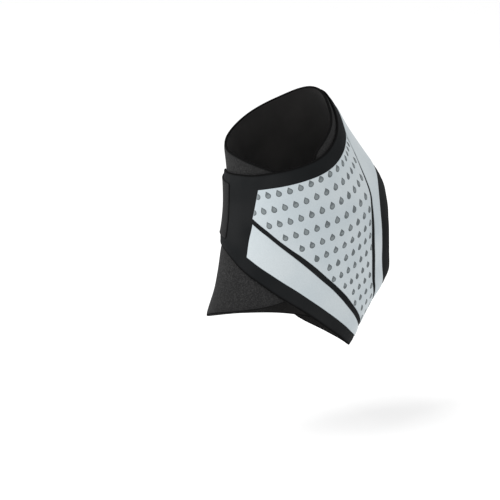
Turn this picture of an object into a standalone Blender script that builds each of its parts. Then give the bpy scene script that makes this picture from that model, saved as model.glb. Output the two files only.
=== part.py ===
# Ankle brace for a left foot, in the form it has when worn with the heel raised.
# An inner wrap, an outer wing closed over it, three printed films and a hook tab.
# Metres, +Z up, toes towards -Y, printed outer side towards +X.
# The origin is the centre of the ankle joint.
#
# Every piece is a flat pattern, cut from cloth and wrapped on one hollow form.
# A pattern is drawn with two numbers: turn, in degrees round the leg (0 front,
# 90 outer side, 180 back, 270 inner side), and station, from 0 at the collar
# to 9 at the toe side.

import math
from collections import namedtuple

import bmesh
import bpy
from mathutils import Vector
from mathutils.geometry import delaunay_2d_cdt

# Worn shape, from the centre of the ankle
FRONT_REACH = 0.060
HEEL_REACH = 0.061
TOP_RISE = 0.100
SOLE_DROP = 0.086
HALF_WIDTH = 0.036

# Layers, from the skin outwards
BASE_THICKNESS = 0.002
WING_THICKNESS = 0.002
FILM_THICKNESS = 0.0005
TAB_THICKNESS = 0.0010
GAP = 0.0003

# Widths of the dark bands that the films leave bare
COLLAR_BAND = 0.0100
DIAGONAL_BAR = 0.0037
REAR_BAR = 0.0021
HEEL_BORDER = 0.0084

# Ends of the films under the sole and behind the leg, in degrees of turn
FILM_SOLE_TURN = 152
REAR_FILM_END_TURN = 214

# Mesh spacing of the flat patterns, and shares of it
CELL = 0.0058
CLEAR_OF_EDGE = 0.45
MERGE_SHARE = 0.1
CLOSE_SHARE = 0.001
CURVE_STEPS = 12
ARC_STEPS = 3

# Steps used to measure the direction of the form's surface
TURN_STEP = 0.5
STATION_STEP = 0.02

Section = namedtuple(
    "Section", "front_out front_up back_out back_up outer inner egg front_power back_power"
)
# front_out in front reaches, back_out in heel reaches, outer and inner in half widths.
# The two heights are in top rises above the ankle and sole drops below it.
SECTIONS = [
    Section(1.04, 0.86, -0.02, 1.01, 0.85, 0.85, 0.14, 2.0, 2.0),
    Section(0.935, 0.64, 0.115, 0.81, 0.835, 0.835, 0.14, 2.0, 2.0),
    Section(0.90, 0.44, 0.31, 0.62, 0.86, 0.86, 0.12, 2.0, 2.0),
    Section(0.90, 0.24, 0.54, 0.42, 0.915, 0.915, 0.10, 2.0, 2.0),
    Section(0.92, 0.04, 0.795, 0.19, 1.0, 0.985, 0.06, 2.0, 2.0),
    Section(0.975, -0.16, 1.0, -0.07, 1.0, 0.985, 0.0, 2.0, 2.1),
    Section(1.06, -0.395, 0.925, -0.36, 0.96, 0.96, -0.03, 2.0, 2.3),
    Section(1.135, -0.58, 0.64, -0.58, 0.985, 0.985, -0.06, 2.0, 2.4),
    Section(1.21, -0.77, 0.42, -0.78, 1.03, 1.03, -0.08, 2.0, 2.5),
    Section(1.285, -0.93, 0.26, -0.99, 1.085, 1.085, -0.08, 2.0, 2.5),
]

Spot = namedtuple("Spot", "turn station")
# Upper rim of the wing, from the front to the inner side of the leg
WING_RIM = [
    Spot(-31, 2.50), Spot(-17, 2.40), Spot(10, 2.32), Spot(28, 2.31), Spot(47, 2.28),
    Spot(74, 2.28), Spot(88, 2.27), Spot(102, 2.20), Spot(120, 1.99), Spot(135, 1.74),
    Spot(144, 1.55), Spot(153, 1.33), Spot(162, 1.12), Spot(175, 0.97), Spot(190, 0.93),
    Spot(207, 1.00), Spot(222, 1.16), Spot(231, 1.42), Spot(236, 1.80),
]
# Lower edge of the wing, from the inner sole to the front
WING_HEM = [
    Spot(236, 7.95), Spot(231, 8.30), Spot(221, 8.58), Spot(205, 8.74), Spot(180, 8.80),
    Spot(150, 8.75), Spot(129, 8.43), Spot(116.5, 8.10), Spot(102, 7.69), Spot(89, 7.30),
    Spot(77.5, 6.96), Spot(62, 6.51), Spot(43, 5.92), Spot(31, 5.63), Spot(20, 5.38), Spot(8, 5.11),
    Spot(-4, 4.93), Spot(-18, 4.84), Spot(-31, 4.80),
]
# Rounded front end of the wing, from its hem to its rim
WING_FRONT = [
    Spot(-31, 4.80), Spot(-36, 4.72), Spot(-38, 4.50), Spot(-38, 3.65), Spot(-38, 2.82),
    Spot(-36, 2.60), Spot(-31, 2.50),
]
# Upper rim of the base, from under the wing round the back and the inner side
BASE_RIM = [
    Spot(84, 2.42), Spot(89, 2.24), Spot(95, 2.05), Spot(108.5, 1.87), Spot(120, 1.73),
    Spot(130, 1.60), Spot(141, 1.40), Spot(152, 1.14), Spot(162, 0.96), Spot(176, 0.84),
    Spot(195, 0.80), Spot(214, 0.86), Spot(240, 1.02), Spot(270, 1.20), Spot(300, 1.41),
    Spot(331, 1.60), Spot(348, 1.69), Spot(367, 1.77), Spot(387, 1.96), Spot(402, 2.16),
    Spot(410, 2.30), Spot(420, 2.60), Spot(430, 3.10),
]
# Lower edge of the base, from its front end round the inner side and the sole
BASE_HEM = [
    Spot(430, 6.30), Spot(421, 6.56), Spot(410, 6.74), Spot(397, 6.86), Spot(382, 7.00),
    Spot(368, 7.13), Spot(350, 7.35), Spot(332, 7.62), Spot(300, 8.00), Spot(270, 8.25),
    Spot(240, 8.42), Spot(210, 8.50), Spot(180, 8.52), Spot(150, 8.46), Spot(129, 8.18),
    Spot(104, 7.42), Spot(84, 6.85),
]
# Outer half of the heel opening, from its top to its bottom at the back
HEEL_EDGE = [
    Spot(180, 3.72), Spot(164, 3.82), Spot(150, 4.12), Spot(141, 4.43), Spot(134.5, 4.68),
    Spot(130.8, 4.97), Spot(130.2, 5.25), Spot(132.2, 5.57), Spot(138, 5.95), Spot(146.5, 6.36),
    Spot(164, 6.62), Spot(180, 6.68),
]
# Width of the dark border beside each spot of the heel edge, in heel borders
BORDER_SHARES = [0.9, 0.9, 1.0, 1.1, 1.05, 1.02, 1.0, 1.0, 1.0, 0.75, 0.7, 0.7]
# Top of the rear film, from the thin rear bar round the back of the leg
REAR_FILM_TOP = [
    Spot(138.5, 2.16), Spot(146, 1.90), Spot(153, 1.72), Spot(162, 1.55), Spot(176, 1.42),
    Spot(197, 1.38), Spot(REAR_FILM_END_TURN, 1.48),
]
# Middle of the diagonal dark bar, from the front to the sole
DIAGONAL = [
    Spot(27, 3.76), Spot(33, 3.96), Spot(40, 4.20), Spot(48.5, 4.55), Spot(57, 4.90),
    Spot(65, 5.20), Spot(74.5, 5.55), Spot(84.5, 5.93), Spot(95, 6.33), Spot(103, 6.62),
    Spot(113, 6.98), Spot(120, 7.23), Spot(131, 7.62), Spot(141, 7.93), Spot(FILM_SOLE_TURN, 8.20),
]
# Middle of the thin rear bar, from the collar to the sole
REAR = [
    Spot(138.5, 2.02), Spot(136, 2.40), Spot(133.5, 2.80), Spot(130.5, 3.18), Spot(128, 3.50),
    Spot(124.5, 3.87), Spot(119.5, 4.19), Spot(115, 4.53), Spot(112.3, 4.87), Spot(112, 5.15),
    Spot(113.5, 5.45), Spot(116.3, 5.80), Spot(120.5, 6.17), Spot(126.5, 6.46), Spot(133, 6.71),
    Spot(139.5, 6.94), Spot(FILM_SOLE_TURN, 7.28),
]
# Width of the thin rear bar at each of those spots, in rear bars
REAR_SHARES = [
    0.25, 0.25, 0.3, 0.5, 0.65, 0.8, 0.9, 1.0, 1.0, 1.0, 1.0, 1.0, 1.0, 1.0, 1.0, 1.0, 1.0,
]
# Lower edge of the lower film, from the sole to the front
LOWER_FILM_HEM = [
    Spot(FILM_SOLE_TURN, 8.46), Spot(140, 8.29), Spot(127, 8.00), Spot(117, 7.71),
    Spot(102.5, 7.27), Spot(89.5, 6.88), Spot(77.5, 6.51), Spot(62, 5.99), Spot(48, 5.59),
    Spot(36, 5.29), Spot(25.3, 5.02),
]
# Front top corner of the main film
MAIN_FRONT_TURN = 33.3

# Hook tab near the wing's front end
TAB_FRONT_TURN = 2.4
TAB_BACK_TURN = -33
TAB_TOP_STATION = 2.68
TAB_BOTTOM_STATION = 4.56
TAB_CORNER = 0.0022

# sRGB colour, roughness, metallic
FINISHES = {
    "base_cloth": ((54, 53, 54), 0.92, 0.0),
    "wing_cloth": ((38, 41, 43), 0.80, 0.0),
    "silver_print": ((199, 205, 208), 0.48, 0.15),
    "hook_strip": ((34, 34, 35), 0.85, 0.0),
}


def height(share):
    # A height above the ankle, or below it where the share is negative
    if share > 0:
        return share * TOP_RISE
    return share * SOLE_DROP


def sized(row):
    # One row of the section table in metres
    return (
        row.front_out * FRONT_REACH, height(row.front_up),
        -row.back_out * HEEL_REACH, height(row.back_up),
        row.outer * HALF_WIDTH, row.inner * HALF_WIDTH,
        row.egg, row.front_power, row.back_power,
    )


ROWS = [sized(row) for row in SECTIONS]


def cubic(before, start, end, after, share):
    # Smooth curve through start and end, with slopes from their neighbours
    slope_start = (end - before) / 2
    slope_end = (after - start) / 2
    square = share * share
    cube = square * share
    return (
        (2 * cube - 3 * square + 1) * start + (cube - 2 * square + share) * slope_start
        + (3 * square - 2 * cube) * end + (cube - square) * slope_end
    )


def section_at(station):
    # The section at any station, from the rows before and after it
    last = len(ROWS) - 1
    station = min(max(station, 0.0), last)
    first = min(int(station), last - 1)
    share = station - first
    start = ROWS[first]
    end = ROWS[first + 1]
    if first > 0:
        before = ROWS[first - 1]
    else:
        before = [2 * a - b for a, b in zip(start, end)]
    if first + 2 <= last:
        after = ROWS[first + 2]
    else:
        after = [2 * b - a for a, b in zip(start, end)]
    return [cubic(p, a, b, n, share) for p, a, b, n in zip(before, start, end, after)]


def form_point(turn, station):
    # A point of the hollow form, the surface that the skin would touch
    front_y, front_z, back_y, back_z, outer, inner, egg, front_power, back_power = section_at(station)
    ahead = math.cos(math.radians(turn))
    aside = math.sin(math.radians(turn))
    power = front_power if ahead > 0 else back_power
    stretch = (abs(ahead) ** power + abs(aside) ** power) ** (-1 / power)
    ahead *= stretch
    aside *= stretch
    width = outer if aside > 0 else inner
    share = (1 - ahead) / 2
    forward = front_y + (back_y - front_y) * share
    up = front_z + (back_z - front_z) * share
    return Vector((width * aside * (1 + egg * ahead), -forward, up))


def form_normal(turn, station):
    round_step = form_point(turn + TURN_STEP, station) - form_point(turn - TURN_STEP, station)
    low = max(station - STATION_STEP, 0.0)
    high = min(station + STATION_STEP, len(ROWS) - 1)
    down_step = form_point(turn, high) - form_point(turn, low)
    return down_step.cross(round_step).normalized()


def pattern_scale():
    # Mean length of a degree of turn and of a station, which keep cells square
    middle = len(ROWS) // 2
    girth = 0.0
    for turn in range(0, 360, 5):
        girth += (form_point(turn + 5, middle) - form_point(turn, middle)).length
    drop = 0.0
    for station in range(len(ROWS) - 1):
        drop += (form_point(90, station + 1) - form_point(90, station)).length
    return girth / 360, drop / (len(ROWS) - 1)


DEGREE, STATION = pattern_scale()


def smooth_edge(spots):
    # Evenly spaced pattern points on a smooth curve through a few spots
    points = [Vector((spot.turn * DEGREE, spot.station * STATION)) for spot in spots]
    curve = []
    for index in range(len(points) - 1):
        start = points[index]
        end = points[index + 1]
        before = points[index - 1] if index > 0 else 2 * start - end
        after = points[index + 2] if index + 2 < len(points) else 2 * end - start
        for step in range(CURVE_STEPS):
            curve.append(cubic(before, start, end, after, step / CURVE_STEPS))
    curve.append(points[-1])
    return evenly(curve)


def evenly(curve):
    # The same curve with points about a cell apart
    lengths = [0.0]
    for start, end in zip(curve, curve[1:]):
        lengths.append(lengths[-1] + (end - start).length)
    count = max(1, round(lengths[-1] / CELL))
    result = []
    index = 0
    for step in range(count):
        target = lengths[-1] * step / count
        while lengths[index + 1] < target:
            index += 1
        span = lengths[index + 1] - lengths[index]
        share = (target - lengths[index]) / span if span else 0.0
        result.append(curve[index].lerp(curve[index + 1], share))
    result.append(curve[-1])
    return result


def outline(*edges):
    # One closed loop from edges that follow each other
    loop = []
    for edge in edges:
        for point in edge:
            if not loop or (point - loop[-1]).length > CELL * MERGE_SHARE:
                loop.append(point)
    if (loop[0] - loop[-1]).length < CELL * MERGE_SHARE:
        loop.pop()
    return loop


def straight(start, end):
    return smooth_edge([start, end])


def divided(start, end):
    # Points between two ends, the ends left out
    count = max(1, round((end - start).length / CELL))
    return [start.lerp(end, step / count) for step in range(1, count)]


def inside(point, loop):
    # True where a line from the point to one side crosses the loop an odd number of times
    result = False
    previous = loop[-1]
    for corner in loop:
        if (corner.y > point.y) != (previous.y > point.y):
            cross = corner.x + (point.y - corner.y) * (previous.x - corner.x) / (previous.y - corner.y)
            if point.x < cross:
                result = not result
        previous = corner
    return result


def lattice(loop, holes):
    # Inner points of a pattern, on the one grid that all pieces share
    points = []
    edges = loop + [point for hole in holes for point in hole]
    low_x = min(point.x for point in loop)
    high_x = max(point.x for point in loop)
    low_y = min(point.y for point in loop)
    high_y = max(point.y for point in loop)
    for column in range(math.floor(low_x / CELL), math.ceil(high_x / CELL) + 1):
        for row in range(math.floor(low_y / CELL), math.ceil(high_y / CELL) + 1):
            point = Vector((column * CELL, row * CELL))
            if not inside(point, loop) or any(inside(point, hole) for hole in holes):
                continue
            if min((point - edge).length for edge in edges) > CELL * CLEAR_OF_EDGE:
                points.append(point)
    return points


def cut_pattern(loop, holes):
    # The flat triangles of a pattern
    points = list(loop)
    edges = [(index, (index + 1) % len(loop)) for index in range(len(loop))]
    for hole in holes:
        first = len(points)
        points += hole
        edges += [(first + index, first + (index + 1) % len(hole)) for index in range(len(hole))]
    points += lattice(loop, holes)
    flat, _, faces, _, _, _ = delaunay_2d_cdt(points, edges, [], 1, CELL * CLOSE_SHARE)
    kept = []
    for face in faces:
        middle = sum((flat[index] for index in face), Vector((0, 0))) / len(face)
        if inside(middle, loop) and not any(inside(middle, hole) for hole in holes):
            kept.append(face)
    return flat, kept


def wrap(name, loop, holes, lift, thickness, finish):
    # Cuts a pattern, gives it its thickness and wraps it on the form
    flat, faces = cut_pattern(loop, holes)
    shape = bmesh.new()
    corners = [shape.verts.new((point.x, point.y, 0)) for point in flat]
    for face in faces:
        shape.faces.new([corners[index] for index in face])
    loose = [corner for corner in shape.verts if not corner.link_faces]
    bmesh.ops.delete(shape, geom=loose, context="VERTS")
    copied = bmesh.ops.extrude_face_region(shape, geom=shape.faces[:], use_keep_orig=True)
    for item in copied["geom"]:
        if isinstance(item, bmesh.types.BMVert):
            item.co.z = 1
    for corner in shape.verts:
        turn = corner.co.x / DEGREE
        station = corner.co.y / STATION
        away = lift + thickness * corner.co.z
        corner.co = form_point(turn, station) + form_normal(turn, station) * away
    bmesh.ops.recalc_face_normals(shape, faces=shape.faces[:])
    if shape.calc_volume(signed=True) < 0:
        bmesh.ops.reverse_faces(shape, faces=shape.faces[:])
    mesh = bpy.data.meshes.new(name)
    shape.to_mesh(mesh)
    shape.free()
    mesh.shade_smooth()
    mesh.set_sharp_from_angle(angle=math.radians(50))
    piece = bpy.data.objects.new(name, mesh)
    mesh.materials.append(finish)
    BRACE.objects.link(piece)
    return piece


def shifted(spots, down):
    # The same edge, moved towards the toes by a length
    return [Spot(spot.turn, spot.station + down / STATION) for spot in spots]


def rear_bar_side(way):
    # One side of the thin rear bar, towards the front where way is -1 and the back where it is 1
    half_widths = [REAR_BAR / 2 * share for share in REAR_SHARES]
    return [
        Spot(spot.turn + way * half / DEGREE, spot.station) for spot, half in zip(REAR, half_widths)
    ]


def mirrored(spots):
    # The inner half of an edge that is the same on both sides of the heel
    return [Spot(360 - spot.turn, spot.station) for spot in spots]


def stretch_between(spots, low_turn, high_turn):
    # The part of an edge between two turns, with its ends worked out
    result = []
    for start, end in zip(spots, spots[1:]):
        for turn in (low_turn, high_turn):
            if start.turn < turn <= end.turn:
                result.append(spot_at(start, end, turn))
        if low_turn < end.turn < high_turn:
            result.append(end)
    return sorted(result)


def spot_at(start, end, turn):
    # Where the line between two spots crosses a turn
    share = (turn - start.turn) / (end.turn - start.turn)
    return Spot(turn, start.station + (end.station - start.station) * share)


def down_to(spots, turn):
    # The part of an edge from its start to where it comes round to a turn
    result = [spots[0]]
    for start, end in zip(spots, spots[1:]):
        if start.turn < turn <= end.turn:
            result.append(spot_at(start, end, turn))
            break
        result.append(end)
    return result


def spread(spots, lengths):
    # The heel edge moved away from the middle of the heel, each spot by its own length
    middle = Vector((180 * DEGREE, (spots[0].station + spots[-1].station) / 2 * STATION))
    result = []
    for spot, length in zip(spots, lengths):
        point = Vector((spot.turn * DEGREE, spot.station * STATION))
        point += (point - middle).normalized() * length
        result.append(Spot(point.x / DEGREE, point.y / STATION))
    return result


def heel_loop(length):
    # The heel opening, wider all round by a length
    edge = spread(HEEL_EDGE, [length] * len(HEEL_EDGE))
    return outline(smooth_edge(edge), smooth_edge(mirrored(edge)[::-1]))


def finish_named(name):
    colour, roughness, metallic = FINISHES[name]
    material = bpy.data.materials.new(name)
    material.use_nodes = True
    shader = material.node_tree.nodes["Principled BSDF"]
    linear = [((part / 255 + 0.055) / 1.055) ** 2.4 for part in colour]
    shader.inputs["Base Color"].default_value = (*linear, 1)
    shader.inputs["Roughness"].default_value = roughness
    shader.inputs["Metallic"].default_value = metallic
    return material


def make_base():
    loop = outline(
        smooth_edge(BASE_RIM),
        straight(BASE_RIM[-1], BASE_HEM[0]),
        smooth_edge(BASE_HEM),
        straight(BASE_HEM[-1], BASE_RIM[0]),
    )
    wrap("base_wrap", loop, [heel_loop(GAP)], 0.0, BASE_THICKNESS, finish_named("base_cloth"))


def make_wing():
    loop = outline(
        smooth_edge(WING_RIM),
        straight(WING_RIM[-1], WING_HEM[0]),
        smooth_edge(WING_HEM),
        smooth_edge(WING_FRONT),
    )
    lift = BASE_THICKNESS + GAP
    wrap("outer_wing", loop, [heel_loop(0)], lift, WING_THICKNESS, finish_named("wing_cloth"))


def film_top():
    # Upper edge of the films, below the bare collar band
    return shifted(WING_RIM, COLLAR_BAND)


def make_main_panel(lift, finish):
    top = stretch_between(film_top(), MAIN_FRONT_TURN, REAR[0].turn)
    side = rear_bar_side(-1)
    bottom = shifted(DIAGONAL, -DIAGONAL_BAR / 2)
    side[0] = Spot(side[0].turn, top[-1].station)
    top[-1] = side[0]
    loop = outline(
        smooth_edge(top),
        smooth_edge(side),
        straight(side[-1], bottom[-1]),
        smooth_edge(bottom[::-1]),
        straight(bottom[0], top[0]),
    )
    wrap("main_panel", loop, [], lift, FILM_THICKNESS, finish)


def make_lower_panel(lift, finish):
    top = shifted(DIAGONAL, DIAGONAL_BAR / 2)
    loop = outline(
        smooth_edge(top),
        straight(top[-1], LOWER_FILM_HEM[0]),
        smooth_edge(LOWER_FILM_HEM),
        straight(LOWER_FILM_HEM[-1], top[0]),
    )
    wrap("lower_panel", loop, [], lift, FILM_THICKNESS, finish)


def make_rear_panel(lift, finish):
    side = rear_bar_side(1)
    top = stretch_between(REAR_FILM_TOP, side[0].turn, REAR_FILM_END_TURN)
    side[0] = Spot(side[0].turn, top[0].station)
    border = spread(HEEL_EDGE, [HEEL_BORDER * share for share in BORDER_SHARES])
    outer = down_to(border, FILM_SOLE_TURN)
    inner = down_to(mirrored(border), REAR_FILM_END_TURN)
    loop = outline(
        smooth_edge(side),
        straight(side[-1], outer[-1]),
        smooth_edge(outer[::-1] + inner[1:]),
        straight(inner[-1], top[-1]),
        smooth_edge(top[::-1]),
    )
    wrap("rear_panel", loop, [], lift, FILM_THICKNESS, finish)


def make_hook_tab(lift):
    left = TAB_BACK_TURN * DEGREE
    right = TAB_FRONT_TURN * DEGREE
    top = TAB_TOP_STATION * STATION
    bottom = TAB_BOTTOM_STATION * STATION
    centres = [
        (right - TAB_CORNER, bottom - TAB_CORNER), (left + TAB_CORNER, bottom - TAB_CORNER),
        (left + TAB_CORNER, top + TAB_CORNER), (right - TAB_CORNER, top + TAB_CORNER),
    ]
    loop = []
    for quarter, centre in enumerate(centres):
        for step in range(ARC_STEPS + 1):
            angle = math.radians(90 * (quarter + step / ARC_STEPS))
            arm = Vector((math.cos(angle), math.sin(angle))) * TAB_CORNER
            corner = Vector(centre) + arm
            if loop and step == 0:
                loop += divided(loop[-1], corner)
            loop.append(corner)
    loop += divided(loop[-1], loop[0])
    wrap("hook_tab", loop, [], lift, TAB_THICKNESS, finish_named("hook_strip"))


BRACE = bpy.data.collections.new("ankle_brace")


def main():
    for item in list(bpy.data.objects):
        bpy.data.objects.remove(item, do_unlink=True)
    bpy.context.scene.collection.children.link(BRACE)
    make_base()
    make_wing()
    lift = BASE_THICKNESS + WING_THICKNESS + 2 * GAP
    print_finish = finish_named("silver_print")
    make_main_panel(lift, print_finish)
    make_lower_panel(lift, print_finish)
    make_rear_panel(lift, print_finish)
    make_hook_tab(lift)


main()
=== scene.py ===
import math
import bpy
import numpy as np
from mathutils import Matrix, Vector
from mathutils.geometry import delaunay_2d_cdt


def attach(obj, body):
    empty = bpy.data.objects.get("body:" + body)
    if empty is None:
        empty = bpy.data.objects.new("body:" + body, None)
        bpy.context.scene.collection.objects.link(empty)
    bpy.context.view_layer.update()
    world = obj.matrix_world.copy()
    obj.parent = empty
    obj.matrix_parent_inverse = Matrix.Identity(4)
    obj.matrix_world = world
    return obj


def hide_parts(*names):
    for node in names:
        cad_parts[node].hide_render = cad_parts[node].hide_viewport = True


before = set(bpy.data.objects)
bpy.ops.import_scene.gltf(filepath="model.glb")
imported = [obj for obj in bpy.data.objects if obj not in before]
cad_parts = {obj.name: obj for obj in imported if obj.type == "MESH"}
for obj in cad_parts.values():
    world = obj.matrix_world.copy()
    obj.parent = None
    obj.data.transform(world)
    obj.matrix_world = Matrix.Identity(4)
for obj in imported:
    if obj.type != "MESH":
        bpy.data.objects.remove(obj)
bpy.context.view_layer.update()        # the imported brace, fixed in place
print("frame loaded:", ", ".join(sorted(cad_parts)))

# Every cloth is a flat pattern wrapped on one hollow form, as it is worn.
# A pattern point has a turn round the form in degrees (0 front, 90 outer side,
# 180 back, 270 inner side) and a station from 0 at the collar to 9 at the lower end.
form = {
    "frontReach": 0.060,     # metres from the origin
    "heelReach": 0.061,
    "topRise": 0.100,
    "soleDrop": 0.086,
    "halfWidth": 0.036,
    "ringStep": 5.0, "normalTurn": 0.5, "normalStation": 0.02,      # steps for measures and normals
    # front out, front up, back out, back up, outer, inner, egg, front power, back power
    "sections": [
        (1.04, 0.86, -0.02, 1.01, 0.85, 0.85, 0.14, 2.0, 2.0),
        (0.935, 0.64, 0.115, 0.81, 0.835, 0.835, 0.14, 2.0, 2.0),
        (0.90, 0.44, 0.31, 0.62, 0.86, 0.86, 0.12, 2.0, 2.0),
        (0.90, 0.24, 0.54, 0.42, 0.915, 0.915, 0.10, 2.0, 2.0),
        (0.92, 0.04, 0.795, 0.19, 1.0, 0.985, 0.06, 2.0, 2.0),
        (0.975, -0.16, 1.0, -0.07, 1.0, 0.985, 0.0, 2.0, 2.1),
        (1.06, -0.395, 0.925, -0.36, 0.96, 0.96, -0.03, 2.0, 2.3),
        (1.135, -0.58, 0.64, -0.58, 0.985, 0.985, -0.06, 2.0, 2.4),
        (1.21, -0.77, 0.42, -0.78, 1.03, 1.03, -0.08, 2.0, 2.5),
        (1.285, -0.93, 0.26, -0.99, 1.085, 1.085, -0.08, 2.0, 2.5),
    ],
    # soft swells and dents of the cloth: turn, station, turns wide, stations wide, height in metres
    "swells": [
        (100, 4.9, 26, 1.1, 0.0004),
        (128, 3.3, 10, 1.3, -0.0003),
        (20, 4.4, 22, 0.5, -0.0003),
        (66, 7.1, 20, 0.8, 0.0003),
        (262, 5.0, 24, 1.2, 0.0005),
        (318, 5.2, 16, 0.7, -0.0004),
        (232, 3.0, 12, 1.6, -0.0004),
        (200, 7.6, 26, 0.7, 0.0003),
        (-30, 3.6, 24, 1.05, -0.0013),
        (-25, 1.7, 24, 0.6, 0.0006),
        (-25, 5.1, 22, 0.4, 0.0006),
        (-25, 6.5, 26, 0.8, -0.0009),
        (155, 2.3, 20, 0.7, -0.0007),
        (157, 4.0, 16, 0.6, 0.0014),
    ],
}
# How every pattern is drawn and cut into triangles
cutting = {
    "curveSteps": 24,           # between two spots of an edge
    "closeSpots": 0.0003,       # metres; nearer spots of an edge become one
    "leastBend": 0.5, "leastReach": 0.6,        # hold an edge back where it is moved at a sharp corner
    "bandShare": 0.93,          # of its width that a row beside one edge keeps clear of the others
    "netClear": 0.45, "printClear": 0.25, "printReach": 3,      # in cells of the net
    "mergeReach": 1e-6,
}


def height(share):
    return share * (form["topRise"] if share > 0 else form["soleDrop"])


def sectionTable():
    rows = []
    for frontOut, frontUp, backOut, backUp, outer, inner, egg, frontPower, backPower in form["sections"]:
        rows.append((
            frontOut * form["frontReach"], height(frontUp), -backOut * form["heelReach"], height(backUp),
            outer * form["halfWidth"], inner * form["halfWidth"], egg, frontPower, backPower,
        ))
    rows = np.array(rows)
    return np.vstack([2 * rows[0] - rows[1], rows, 2 * rows[-1] - rows[-2]])    # straight on past both ends


sectionRows = sectionTable()
lastStation = len(form["sections"]) - 1


def unit(vectors):
    return vectors / np.linalg.norm(vectors, axis=1, keepdims=True)


def clamped(value, low, high):
    return min(max(value, low), high)


def smoothStep(before, start, end, after, share):
    square, cube = share ** 2, share ** 3
    return (
        (2 * cube - 3 * square + 1) * start + (cube - 2 * square + share) * (end - before) / 2
        + (3 * square - 2 * cube) * end + (cube - square) * (after - start) / 2
    )


def formPoints(turn, station):
    station = np.clip(station, 0, lastStation)
    first = np.minimum(station.astype(int), lastStation - 1)
    near = [sectionRows[first + step] for step in range(4)]
    section = smoothStep(*near, (station - first)[:, None]).T
    frontY, frontZ, backY, backZ, outer, inner, egg, frontPower, backPower = section
    ahead, aside = np.cos(np.radians(turn)), np.sin(np.radians(turn))
    power = np.where(ahead > 0, frontPower, backPower)
    stretch = (np.abs(ahead) ** power + np.abs(aside) ** power) ** (-1 / power)
    ahead, aside = ahead * stretch, aside * stretch
    share = (1 - ahead) / 2
    across = np.where(aside > 0, outer, inner) * aside * (1 + egg * ahead)
    return np.stack([across, -(frontY + (backY - frontY) * share), frontZ + (backZ - frontZ) * share], 1)


def formNormals(turn, station):
    turnStep, stationStep = form["normalTurn"], form["normalStation"]
    roundStep = formPoints(turn + turnStep, station) - formPoints(turn - turnStep, station)
    downStep = formPoints(turn, station + stationStep) - formPoints(turn, station - stationStep)
    return unit(np.cross(downStep, roundStep))


def swellAt(turn, station):
    total = np.zeros(len(turn))
    for atTurn, atStation, turnsWide, stationsWide, rise in form["swells"]:
        apart = (turn - atTurn + 180) % 360 - 180
        total += rise * np.exp(-(apart / turnsWide) ** 2 - ((station - atStation) / stationsWide) ** 2)
    return total


# Mean length of a degree of turn at mid height, and of a station on the outer side
ringTurns = np.arange(0, 361, form["ringStep"])
ring = formPoints(ringTurns, np.full(len(ringTurns), float((lastStation + 1) // 2)))
degree = np.linalg.norm(np.diff(ring, axis=0), axis=1).sum() / 360
side = formPoints(np.full(lastStation + 1, 90.0), np.arange(lastStation + 1.0))
stationLength = np.linalg.norm(np.diff(side, axis=0), axis=1).sum() / lastStation
flatScale = np.array([degree, stationLength])


def onForm(flat, lift):
    turn, station = (flat / flatScale).T
    away = lift + swellAt(turn, station)
    return formPoints(turn, station) + formNormals(turn, station) * away[:, None]


def pathLengths(path):
    # how far along a path each of its points lies
    return np.concatenate([[0], np.cumsum(np.linalg.norm(np.diff(path, axis=0), axis=1))])


def pathSpots(path, lengths, wanted):
    return np.stack([np.interp(wanted, lengths, path[:, axis]) for axis in range(2)], 1)


def smoothEdge(spots, step):
    # evenly spaced flat points on a smooth curve through a few spots
    points = np.array(spots, float) * flatScale
    points = np.vstack([2 * points[0] - points[1], points, 2 * points[-1] - points[-2]])
    share = np.linspace(0, 1, cutting["curveSteps"], endpoint=False)[:, None]
    curve = [smoothStep(*points[start:start + 4], share) for start in range(len(points) - 3)]
    curve = np.vstack(curve + [points[-2:-1]])
    lengths = pathLengths(curve)
    return pathSpots(curve, lengths, np.linspace(0, lengths[-1], max(2, round(lengths[-1] / step) + 1)))


def closedLoop(edges):
    points = []
    for point in np.vstack(edges):
        if not points or np.linalg.norm(point - points[-1]) > cutting["closeSpots"]:
            points.append(point)
    if np.linalg.norm(points[0] - points[-1]) < cutting["closeSpots"]:
        points.pop()
    return np.array(points)


def turnedTo(loop, clockwise):
    following = np.roll(loop, -1, axis=0)
    area = (loop[:, 0] * following[:, 1] - following[:, 0] * loop[:, 1]).sum()
    return loop[::-1] if (area < 0) != clockwise else loop


def insetLoop(loop, inset):
    # the loop moved into the cloth, which lies on its left
    ahead = unit(np.roll(loop, -1, axis=0) - loop)
    left = np.stack([-ahead[:, 1], ahead[:, 0]], 1)
    both = left + np.roll(left, 1, axis=0)
    both /= np.maximum(np.linalg.norm(both, axis=1, keepdims=True), cutting["leastBend"])
    reach = 1 / np.maximum((both * left).sum(1, keepdims=True), cutting["leastReach"])
    return loop + both * reach * inset


def insideLoop(points, loop):
    result = np.zeros(len(points), bool)
    for start, end in zip(loop, np.roll(loop, -1, axis=0)):
        if start[1] == end[1]:
            continue
        between = (start[1] > points[:, 1]) != (end[1] > points[:, 1])
        cross = start[0] + (points[:, 1] - start[1]) * (end[0] - start[0]) / (end[1] - start[1])
        result ^= between & (points[:, 0] < cross)
    return result


def distanceTo(points, loop):
    nearest = np.full(len(points), np.inf)
    for start, end in zip(loop, np.roll(loop, -1, axis=0)):
        along = end - start
        share = np.clip((points - start) @ along / (along @ along), 0, 1)
        nearest = np.minimum(nearest, np.linalg.norm(points - start - share[:, None] * along, axis=1))
    return nearest


def inCloth(points, loops):
    result = insideLoop(points, loops[0])
    for hole in loops[1:]:
        result &= ~insideLoop(points, hole)
    return result


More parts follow.
